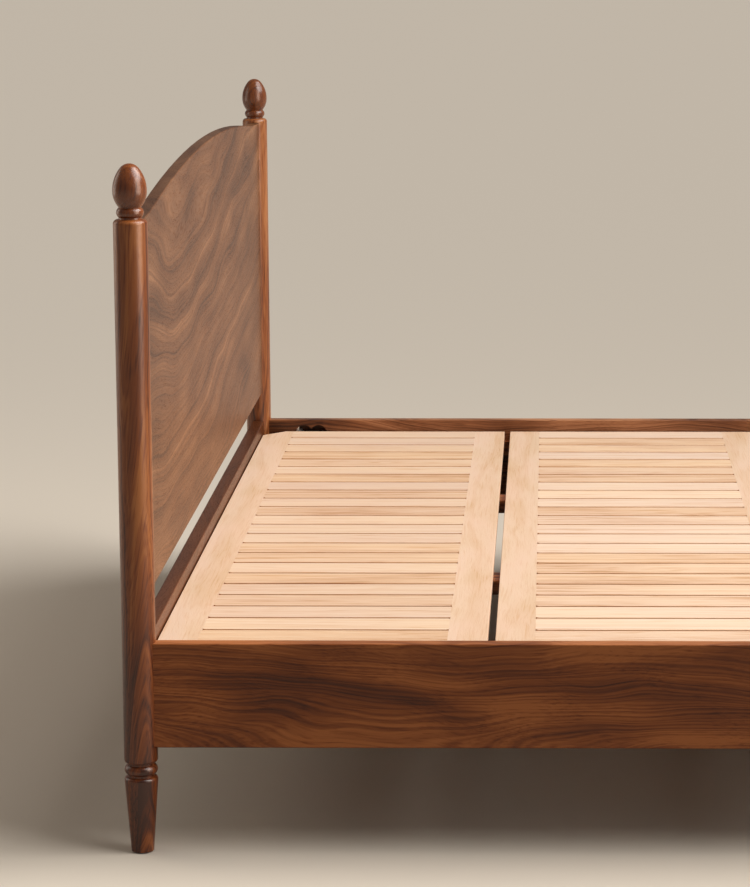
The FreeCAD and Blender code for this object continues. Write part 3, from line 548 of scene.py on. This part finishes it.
# Painted light: each side rail's faces that look up are painted lighter, and the left rail's are also
# painted less red.
SIDE_RAILS = {
    "left": dict(tone=-0.18, tint=(1.06, 0.90, 0.72), painted_top_shading=(1.1, 1.2, 1.5), shift=6.9),
    "right": dict(tone=-0.28, tint=ROSY, painted_top_shading=WALNUT["painted_top_shading"], shift=2.3),
}
# Painted shade: the end rails' faces that look up are painted darker.
END_RAIL_WALNUT = dict(
    WALNUT,
    figure={"Zones": 0.16, "Bands": 0.2, "Rings": 0.1, "Streaks": -0.12, "Pores": -0.08},
    even_tone=0.06, painted_top_shading=(0.8, 0.8, 0.8),
)
END_RAIL_SHIFTS = {"head": 1.1, "foot": 3.2}

side_lean = (0.0, RAIL_LEAN, 0.0)
end_lean = (RAIL_LEAN, 0.0, 0.0)
for side, rail in SIDE_RAILS.items():
    stain = tinted(WALNUT["stain"], rail["tint"])
    look = dict(WALNUT, stain=stain, even_tone=rail["tone"], painted_top_shading=rail["painted_top_shading"])
    dress_in_wood(f"side_rail_{side}", "walnut", look, RAIL_CUT, "X", side_lean, rail["shift"])
for end, shift in END_RAIL_SHIFTS.items():
    dress_in_wood(f"{end}_rail", "walnut", END_RAIL_WALNUT, RAIL_CUT, "Y", end_lean, shift)
print(f"{len(SIDE_RAILS) + len(END_RAIL_SHIFTS)} rails dressed")

# %% [markdown]
# The head panel is the show piece: wide walnut, paler and rosier than the rails, with soft swirls that
# sweep up across it. Its top edge, which looks up, is painted darker as painted shade.

# %% Walnut head panel
# Painted shade: the panel's faces that look up, its top edge, are painted darker.
PANEL_WALNUT = dict(
    WALNUT,
    stain=((0.0, (0.085, 0.027, 0.008)), (0.35, (0.155, 0.055, 0.0185)),
           (0.7, (0.215, 0.086, 0.033)), (1.0, (0.32, 0.140, 0.060))),
    figure={"Zones": 0.44, "Bands": 0.46, "Rings": 0.38, "Streaks": -0.16, "Pores": -0.06},
    even_tone=-0.15, roughness=0.40, specular=0.34, painted_top_shading=(0.62, 0.62, 0.62),
)
PANEL_CUT = {"Pith": (0.05, 0.42, 0.0), "Wander": 0.30, "Wander Width": 0.36, "Wander Length": 1.3,
             "Fine Wander": 0.09, "Bow": 0.10, "Band Width": 0.036, "Ring Width": 0.0062,
             "Zone Width": 0.09, "Zone Length": 0.3}
PANEL_SHIFT = 6.6
dress_in_wood("head_panel", "walnut", PANEL_WALNUT, PANEL_CUT, "Y", shift=PANEL_SHIFT)
print("head panel dressed")

# %% [markdown]
# Under the slats the bed is walnut too, but nobody looks at it, so the strips, beams, blocks and legs
# are plain straight-grained stock.

# %% Walnut ledgers, beams, blocks and legs
SIDES = ("left", "right")
ENDS = ("head", "foot")
PLAIN_CUT = dict(RAIL_CUT, **{"Pith": (0.3, 0.2, 0.0), "Wander": 0.04, "Band Width": 0.01})
LONG_STOCK_STEP = 3.1
SHORT_STOCK_STEP = 1.3
for number, side in enumerate(SIDES):
    for order, kind in enumerate(("side_ledger", "support_beam")):
        shift = LONG_STOCK_STEP * number + order
        dress_in_wood(f"{kind}_{side}", "walnut", WALNUT, PLAIN_CUT, "X", shift=shift)
    for order, end in enumerate(ENDS):
        shift = SHORT_STOCK_STEP * number + order
        for kind, grain in (("beam_block", "Y"), ("support_leg", "Z")):
            dress_in_wood(f"{kind}_{end}_{side}", "walnut", WALNUT, PLAIN_CUT, grain, shift=shift)
print("under-bed pieces dressed")

# %% [markdown]
# The slat panels are left unlacquered, in a pale wood with a soft peach tone. The same trunk serves, with
# pale colours, low contrast and fine pores.

# %% Pale cross boards
PALE_WOOD = {
    "stain": ((0.0, (0.55, 0.27, 0.115)), (0.3, (0.80, 0.495, 0.285)),
              (0.6, (0.90, 0.63, 0.422)), (1.0, (0.95, 0.72, 0.53))),
    "figure": {"Zones": 0.24, "Bands": 0.28, "Rings": 0.06, "Streaks": -0.18, "Pores": -0.05},
    "even_tone": 0.34, "roughness": 0.68, "specular": 0.16, "relief": 0.2,
    "zone_tint": (1.0, 0.94, 0.94),
}
BOARD_CUT = {"Pith": (0.05, 0.12, 0.0), "Wander": 0.05, "Wander Width": 0.16, "Wander Length": 1.1,
             "Fine Wander": 0.02, "Bow": 0.0, "Band Width": 0.024, "Ring Width": 0.0036,
             "Zone Width": 0.05, "Zone Length": 0.2}
BOARD_TINT = (0.92, 0.965, 1.02)
BOARD_TURN_STEP = 0.4
BOARD_PANEL_STEP = 1.9
BOARD_END_STEP = 0.7
PANEL_COUNT = 4

board_wood = dict(PALE_WOOD, stain=tinted(PALE_WOOD["stain"], BOARD_TINT))
for number in range(PANEL_COUNT):
    lean = (0.0, 0.0, BOARD_TURN_STEP * number)
    for order, end in enumerate(ENDS):
        board = f"slat_panel_{number + 1}_{end}_board"
        shift = BOARD_PANEL_STEP * number + BOARD_END_STEP * order
        dress_in_wood(board, "pale", board_wood, BOARD_CUT, "Y", lean, shift)
print(f"{PANEL_COUNT * len(ENDS)} cross boards dressed")

# %% [markdown]
# The slats could be copied one by one, but a row is what Geometry Nodes are for. A tree starts with named
# inputs, and ends by making its copies real and giving them their material. Solids are made by sweeping a
# section along a line, and put together with Mesh Boolean.

# %% Tools for rows of solids
ROUND_STEPS = 4


def new_row_tree(name, inputs):
    """A Geometry Nodes tree with named inputs. Returns the tree, its inputs' outlets and identifiers."""
    tree = bpy.data.node_groups.new(name, "GeometryNodeTree")
    identifiers = {label: group_socket(tree, label, kind).identifier for label, kind in inputs.items()}
    group_socket(tree, "Geometry", "NodeSocketGeometry", "OUTPUT")
    return tree, add_node(tree, "NodeGroupInput").outputs, identifiers


def rectangle(tree, width, height):
    """A rectangle round the origin."""
    size = {"Width": width, "Height": height}
    return add_node(tree, "GeometryNodeCurvePrimitiveQuadrilateral", size).outputs["Curve"]


def rounded_section(tree, width, height, radius):
    """A rectangle round the origin, with rounded corners."""
    rounding = {"Curve": rectangle(tree, width, height), "Radius": radius, "Count": ROUND_STEPS}
    return add_node(tree, "GeometryNodeFilletCurve", rounding, mode="POLY").outputs["Curve"]


def bar_along(tree, axis, length, section):
    """A section swept along an axis, middled on the origin, with its ends closed."""
    half = calculate(tree, "MULTIPLY", length, 0.5)
    start = vector_of(tree, **{axis: calculate(tree, "MULTIPLY", half, -1.0)})
    end = vector_of(tree, **{axis: half})
    line = add_node(tree, "GeometryNodeCurvePrimitiveLine", {"Start": start, "End": end})
    sweep = {"Curve": line.outputs["Curve"], "Profile Curve": section, "Fill Caps": True}
    return add_node(tree, "GeometryNodeCurveToMesh", sweep).outputs["Mesh"]


def join_solids(tree, operation, first, second):
    """Keep what two solids share, or add them up."""
    joined = add_node(tree, "GeometryNodeMeshBoolean", operation=operation, solver="EXACT")
    for mesh in (first, second):
        tree.links.new(mesh, joined.inputs["Mesh 2"])
    return joined.outputs["Mesh"]


def finish_row(tree, geometry, material):
    """Make the instances real, with flat faces, give them their material and end the tree."""
    real = add_node(tree, "GeometryNodeRealizeInstances", {"Geometry": geometry}).outputs["Geometry"]
    flat_faces = add_node(tree, "GeometryNodeSetShadeSmooth", {"Geometry": real, "Shade Smooth": False})
    covering = {"Geometry": flat_faces.outputs[0], "Material": material}
    covered = add_node(tree, "GeometryNodeSetMaterial", covering).outputs["Geometry"]
    add_node(tree, "NodeGroupOutput", {"Geometry": covered})


print("row tools ready")

# %% [markdown]
# Each panel has twenty-four slats, planed with eased edges and rounded corners, with a tongue at each end
# that sits in the groove of a cross board. One slat is swept along a line, cut to its rounded outline,
# given its tongues and set out on points. Each point carries a random tone, which the material reads, so
# that no two slats look alike.

# %% The slat row
SAW_ROOM = 1.2

slat_row, given, slat_inputs = new_row_tree("slat_row", {
    "First Slat": "NodeSocketVector", "Pitch": "NodeSocketFloat", "Count": "NodeSocketInt",
    "Slat Length": "NodeSocketFloat", "Slat Width": "NodeSocketFloat",
    "Slat Thickness": "NodeSocketFloat", "Edge Round": "NodeSocketFloat",
    "Corner Round": "NodeSocketFloat", "Length With Tongues": "NodeSocketFloat",
    "Tongue Thickness": "NodeSocketFloat", "Seed": "NodeSocketInt", "Wood": "NodeSocketMaterial",
})
section_size = (given["Slat Width"], given["Slat Thickness"])
long_section = rounded_section(slat_row, *section_size, given["Edge Round"])
bar_length = calculate(slat_row, "MULTIPLY", given["Slat Length"], SAW_ROOM)
long_bar = bar_along(slat_row, "X", bar_length, long_section)
plan = rounded_section(slat_row, given["Slat Length"], given["Slat Width"], given["Corner Round"])
plan_height = calculate(slat_row, "MULTIPLY", given["Slat Thickness"], SAW_ROOM)
planed = join_solids(slat_row, "INTERSECT", long_bar, bar_along(slat_row, "Z", plan_height, plan))
both_corners = calculate(slat_row, "MULTIPLY", given["Corner Round"], 2.0)
tongue_width = calculate(slat_row, "SUBTRACT", given["Slat Width"], both_corners)
tongue_section = rectangle(slat_row, tongue_width, given["Tongue Thickness"])
tongues = bar_along(slat_row, "X", given["Length With Tongues"], tongue_section)
whole = join_solids(slat_row, "UNION", planed, tongues)
step = vector_of(slat_row, Y=given["Pitch"])
line = {"Count": given["Count"], "Start Location": given["First Slat"], "Offset": step}
points = add_node(slat_row, "GeometryNodeMeshLine", line, mode="OFFSET").outputs["Mesh"]
chance = add_node(slat_row, "FunctionNodeRandomValue", {"Seed": given["Seed"]}, data_type="FLOAT")
random_tone = next(socket for socket in chance.outputs if socket.enabled)
own_tone = {"Geometry": points, "Name": "slat_tone", "Value": random_tone}
tone_kind = {"data_type": "FLOAT", "domain": "POINT"}
toned = add_node(slat_row, "GeometryNodeStoreNamedAttribute", own_tone, **tone_kind)
placed = {"Points": toned.outputs["Geometry"], "Instance": whole}
slats = add_node(slat_row, "GeometryNodeInstanceOnPoints", placed).outputs["Instances"]
finish_row(slat_row, slats, given["Wood"])
print(f"slat tree has {len(slat_row.nodes)} nodes")

# %% [markdown]
# A modifier runs the tree, and its inputs are set by their identifiers before it is first evaluated. The
# result is then turned into a plain mesh, one for each panel, and rides on the panel that it belongs to.

# %% Four rows of slats
SLAT_COUNT = 24
SLAT_GAP = 0.006
SLAT_EDGE_ROUND = 0.0008
SLAT_CORNER_ROUND = 0.005
TONGUE_THICKNESS = 0.006
SLAT_SEED = 11
SLAT_PANEL_STEP = 5.0
# Painted shade: the slats' sides are painted darker and redder, as shade in the gaps between slats.
SLAT_WOOD = dict(
    PALE_WOOD,
    figure={"Zones": 0.32, "Bands": 0.32, "Rings": 0.10, "Streaks": -0.38, "Pores": -0.05},
    tone_attribute="slat_tone", tone_shift=40.7,
    darker_share=0.5, darkest_tone=0.06, palest_tone=0.40,
    painted_side_shade=(0.92, 0.71, 0.55), zone_tint=(1.0, 0.96, 0.86), own_tint=(0.92, 0.92, 0.99),
)
SLAT_TINTS = ((0.94, 0.965, 1.01), (1.01, 1.06, 1.14), (0.98, 1.03, 1.09), (0.95, 0.98, 1.04))
SLAT_CUT = dict(
    BOARD_CUT,
    **{"Wander Width": 0.1, "Band Width": 0.012, "Zone Width": 0.08, "Zone Length": 0.3},
)
MM_PER_METRE = 1000


def grow_mesh(name, tree, identifiers, values, places=(), turns=()):
    """Run a tree once, on points if there are any, and keep what it makes as a mesh at the origin."""
    holder_mesh = bpy.data.meshes.new(f"{name}_holder")
    holder_mesh.from_pydata(places, [], [])
    own_turn = holder_mesh.attributes.new("turn", "FLOAT_VECTOR", "POINT")
    for entry, turn in zip(own_turn.data, turns):
        entry.vector = turn
    holder = bpy.data.objects.new(f"{name}_holder", holder_mesh)
    scene.collection.objects.link(holder)
    modifier = holder.modifiers.new("row", "NODES")
    modifier.node_group = tree
    for label, value in values.items():
        modifier[identifiers[label]] = value
    evaluated = holder.evaluated_get(bpy.context.evaluated_depsgraph_get())
    mesh = bpy.data.meshes.new_from_object(evaluated)
    mesh.name = name
    holder.modifiers.remove(modifier)
    bpy.data.objects.remove(holder)
    piece = bpy.data.objects.new(name, mesh)
    scene.collection.objects.link(piece)
    return piece


for number, tint in enumerate(SLAT_TINTS, start=1):
    panel = f"slat_panel_{number}"
    node = f"{panel}_slats"
    low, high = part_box(node)
    slat_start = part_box(f"{panel}_head_board")[1].x
    slat_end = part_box(f"{panel}_foot_board")[0].x
    pitch = (high.y - low.y + SLAT_GAP) / SLAT_COUNT
    width = pitch - SLAT_GAP
    first = Vector(((slat_start + slat_end) / 2, low.y + width / 2, (low.z + high.z) / 2))
    look = dict(SLAT_WOOD, stain=tinted(SLAT_WOOD["stain"], tint))
    shift = SLAT_PANEL_STEP * number
    wood = figured_wood(f"pale_{node}", look, SLAT_CUT, "X", middle_of(node), shift=shift)
    row = grow_mesh(f"{panel}_planed_slats", slat_row, slat_inputs, {
        "First Slat": first, "Pitch": pitch, "Count": SLAT_COUNT, "Slat Length": slat_end - slat_start,
        "Slat Width": width, "Slat Thickness": high.z - low.z, "Edge Round": SLAT_EDGE_ROUND,
        "Corner Round": SLAT_CORNER_ROUND, "Length With Tongues": high.x - low.x,
        "Tongue Thickness": TONGUE_THICKNESS, "Seed": SLAT_SEED + number, "Wood": wood,
    })
    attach(row, panel)
    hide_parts(node)
    faces = len(row.data.polygons)
    print(f"{panel}: {SLAT_COUNT} slats of {width * MM_PER_METRE:.1f} mm, {faces} faces")

# %% [markdown]
# The fittings are small and hard: zinc-plated steel, brass, nylon and a beech dowel. Metal is not one
# even grey. It has soft clouds where the plating is thicker.

# %% Metal, nylon and dowel finishes
CLOUD_DETAIL = 3.0
CLOUD_SPREAD = (0.3, 0.7)
GLOSS_SPREAD = 0.08
METAL_CLOUD = 0.004
NYLON_CLOUD = 0.002


def cloudy_finish(name, dark, pale, metallic, roughness, cloud_size):
    """A hard material with soft clouds of colour and gloss."""
    finish, tree, shader = new_finish(name)
    place = add_node(tree, "ShaderNodeTexCoord").outputs["Object"]
    noise = {"Vector": place, "Scale": 1 / cloud_size, "Detail": CLOUD_DETAIL}
    clouds = add_node(tree, "ShaderNodeTexNoise", noise).outputs[0]
    cloud = spread(tree, clouds, *CLOUD_SPREAD)
    colour = colour_ramp(tree, cloud, ((0.0, dark), (1.0, pale)))
    tree.links.new(colour, shader.inputs["Base Color"])
    gloss = spread(tree, cloud, 0.0, 1.0, roughness - GLOSS_SPREAD, roughness + GLOSS_SPREAD)
    tree.links.new(gloss, shader.inputs["Roughness"])
    shader.inputs["Metallic"].default_value = metallic
    return finish


zinc = cloudy_finish(
    "zinc_plating", dark=(0.74, 0.75, 0.76), pale=(0.92, 0.93, 0.94),
    metallic=1.0, roughness=0.48, cloud_size=METAL_CLOUD,
)
brass = cloudy_finish(
    "brass_insert", dark=(0.52, 0.36, 0.13), pale=(0.68, 0.50, 0.22),
    metallic=1.0, roughness=0.32, cloud_size=METAL_CLOUD,
)
nylon = cloudy_finish(
    "black_nylon_glide", dark=(0.012, 0.012, 0.012), pale=(0.03, 0.03, 0.03),
    metallic=0.0, roughness=0.5, cloud_size=NYLON_CLOUD,
)
for piece in ("half_moon_washers", "rail_nuts", "leg_bolts"):
    dress(piece, zinc)
dress("stud_inserts", brass)
dowel_wood = figured_wood("beech_dowel", PALE_WOOD, BOARD_CUT, "X", middle_of("rail_dowels"))
dress("rail_dowels", dowel_wood)
for end in ENDS:
    for side in SIDES:
        for kind in ("post_glide", "leg_glide"):
            dress(f"{kind}_{end}_{side}", nylon)
print("hard finishes done")

# %% [markdown]
# The CAD model has its screws and studs as plain rods, each in its place, so the places are read from it:
# one box for each separate solid. A rod's long side says which way it points, and its top is the end
# nearer to the bed's middle.

# %% Places of the rods
WELD = 1e-6


def solid_boxes(node):
    """The box of each separate solid in a CAD piece."""
    shape = bmesh.new()
    shape.from_mesh(nodes[node].data)
    bmesh.ops.remove_doubles(shape, verts=shape.verts, dist=WELD)
    left_over = set(shape.verts)
    boxes = []
    while left_over:
        front = [left_over.pop()]
        corners = []
        while front:
            corner = front.pop()
            corners.append(corner.co.copy())
            neighbours = {edge.other_vert(corner) for edge in corner.link_edges} & left_over
            left_over -= neighbours
            front.extend(neighbours)
        low = Vector([min(place[axis] for place in corners) for axis in range(3)])
        high = Vector([max(place[axis] for place in corners) for axis in range(3)])
        boxes.append((low, high))
    shape.free()
    return boxes


def places_and_turns(node):
    """Where each rod of a CAD piece has its top, how it is turned, and the rods' length."""
    places = []
    turns = []
    for low, high in solid_boxes(node):
        size = high - low
        axis = max(range(3), key=lambda number: size[number])
        middle = (low + high) / 2
        inward = -1.0 if middle[axis] > 0 else 1.0
        top = middle.copy()
        top[axis] += inward * size[axis] / 2
        upward = Vector([inward if number == axis else 0.0 for number in range(3)])
        places.append(top)
        turns.append(Vector((0, 0, 1)).rotation_difference(upward).to_euler())
    return places, turns, size[axis]


print("rod places can be read")

# %% [markdown]
# A screw or a stud is a rod with a thread. A thread could be a groove cut along a spiral, but on a rod as
# thin as a pencil rings look the same and stay one closed skin. So a cylinder gets two rows of corners
# for each turn, and every second row is drawn in to the thread's root.

# %% Threaded rods
ROD_SIDES = 16


def new_rod_tree(name, sizes):
    """A tree for rods on points, with an input for each of their sizes."""
    inputs = {"Places": "NodeSocketGeometry", "Length": "NodeSocketFloat"}
    inputs.update({label: "NodeSocketFloat" for label in sizes})
    return new_row_tree(name, {**inputs, "Metal": "NodeSocketMaterial"})


def moved_down(tree, shape, drop):
    """A shape moved down along Z."""
    down = vector_of(tree, Z=calculate(tree, "MULTIPLY", drop, -1.0))
    move = {"Geometry": shape, "Translation": down}
    return add_node(tree, "GeometryNodeTransform", move).outputs["Geometry"]


def threaded_rod(tree, given):
    """A rod from its top at the origin down along Z, with rings of thread below the plain length."""
    length = given["Length"]
    turns = calculate(tree, "ROUND", calculate(tree, "DIVIDE", length, given["Pitch"]))
    rows = calculate(tree, "MULTIPLY", turns, 2.0)
    size = {"Vertices": ROD_SIDES, "Side Segments": rows, "Radius": given["Radius"], "Depth": length}
    rod = add_node(tree, "GeometryNodeMeshCylinder", size).outputs["Mesh"]
    place = add_node(tree, "GeometryNodeInputPosition").outputs[0]
    height = z_of(tree, place)
    half = calculate(tree, "MULTIPLY", length, 0.5)
    from_tip = calculate(tree, "DIVIDE", calculate(tree, "ADD", height, half), length)
    row = calculate(tree, "ROUND", calculate(tree, "MULTIPLY", from_tip, rows))
    even_row = calculate(tree, "SUBTRACT", 1.0, calculate(tree, "MODULO", row, 2.0))
    plain_end = calculate(tree, "SUBTRACT", half, given["Plain Length"])
    below_plain = calculate(tree, "LESS_THAN", height, plain_end)
    drawn_in = calculate(tree, "MULTIPLY", even_row, below_plain)
    root_share = calculate(tree, "DIVIDE", given["Root"], given["Radius"])
    depth = calculate(tree, "SUBTRACT", root_share, 1.0)
    outward = calculate_vector(tree, "MULTIPLY", place, FLATTEN)
    step = scale_vector(tree, outward, calculate(tree, "MULTIPLY", drawn_in, depth))
    threaded = add_node(tree, "GeometryNodeSetPosition", {"Geometry": rod, "Offset": step})
    return moved_down(tree, threaded.outputs["Geometry"], half)


def set_out(tree, points, shape):
    """One copy of a shape at each point, turned by the point's own turn."""
    turn = add_node(tree, "GeometryNodeInputNamedAttribute", {"Name": "turn"}, data_type="FLOAT_VECTOR")
    own_turn = add_node(tree, "FunctionNodeEulerToRotation", {"Euler": turn.outputs[0]}).outputs[0]
    copies = {"Points": points, "Instance": shape, "Rotation": own_turn}
    return add_node(tree, "GeometryNodeInstanceOnPoints", copies).outputs["Instances"]


print("rod tools ready")

# %% [markdown]
# The wood screws hold the ledgers and the blocks. A screw has a round head with a cross cut for the
# driver, and it is plain under the head and threaded towards its tip.

# %% Wood screws
HEAD_SIDES = 2 * ROD_SIDES
SCREW_SIZES = {
    "Radius": 0.002, "Root": 0.0015, "Pitch": 0.0019, "Plain Length": 0.014,
    "Head Radius": 0.004, "Head Top Radius": 0.0034, "Head Height": 0.0035,
    "Cross Length": 0.0046, "Cross Width": 0.0011, "Cross Depth": 0.0018,
}

screw_set, given, screw_names = new_rod_tree("screw_set", SCREW_SIZES)
head_size = {
    "Vertices": HEAD_SIDES, "Radius Top": given["Head Top Radius"],
    "Radius Bottom": given["Head Radius"], "Depth": given["Head Height"],
}
head = add_node(screw_set, "GeometryNodeMeshCone", head_size).outputs["Mesh"]
head = moved_down(screw_set, head, given["Head Height"])
screw = join_solids(screw_set, "UNION", threaded_rod(screw_set, given), head)
both_depths = calculate(screw_set, "MULTIPLY", given["Cross Depth"], 2.0)
cutting = {"operation": "DIFFERENCE", "solver": "EXACT"}
for along, across in (("X", "Y"), ("Y", "X")):
    bar_size = {along: given["Cross Length"], across: given["Cross Width"], "Z": both_depths}
    size = vector_of(screw_set, **bar_size)
    bar = add_node(screw_set, "GeometryNodeMeshCube", {"Size": size}).outputs["Mesh"]
    solids = {"Mesh 1": screw, "Mesh 2": bar}
    screw = add_node(screw_set, "GeometryNodeMeshBoolean", solids, **cutting).outputs["Mesh"]
finish_row(screw_set, set_out(screw_set, given["Places"], screw), given["Metal"])


def grow_rods(node, name, tree, names, sizes):
    """Put a tree's rods where a CAD piece has its own, on the bed's frame."""
    places, turns, length = places_and_turns(node)
    values = {**sizes, "Length": length, "Metal": zinc}
    made = grow_mesh(name, tree, names, values, places, turns)
    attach(made, "bed_frame")
    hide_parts(node)
    faces = len(made.data.polygons)
    print(f"{name}: {len(places)} of {length * MM_PER_METRE:.1f} mm, {faces} faces")


for node in ("ledger_screws", "block_screws"):
    grow_rods(node, f"cross_head_{node}", screw_set, screw_names, SCREW_SIZES)

# %% [markdown]
# The studs join the rails to the posts. They are plain threaded rod, eight millimetres thick, cut to
# length, so the same rod serves without a head.

# %% Threaded studs
STUD_SIZES = {"Radius": 0.004, "Root": 0.0034, "Pitch": 0.00125, "Plain Length": 0.0}

stud_set, given, stud_names = new_rod_tree("stud_set", STUD_SIZES)
studs = set_out(stud_set, given["Places"], threaded_rod(stud_set, given))
finish_row(stud_set, studs, given["Metal"])
grow_rods("rail_studs", "threaded_rail_studs", stud_set, stud_names, STUD_SIZES)
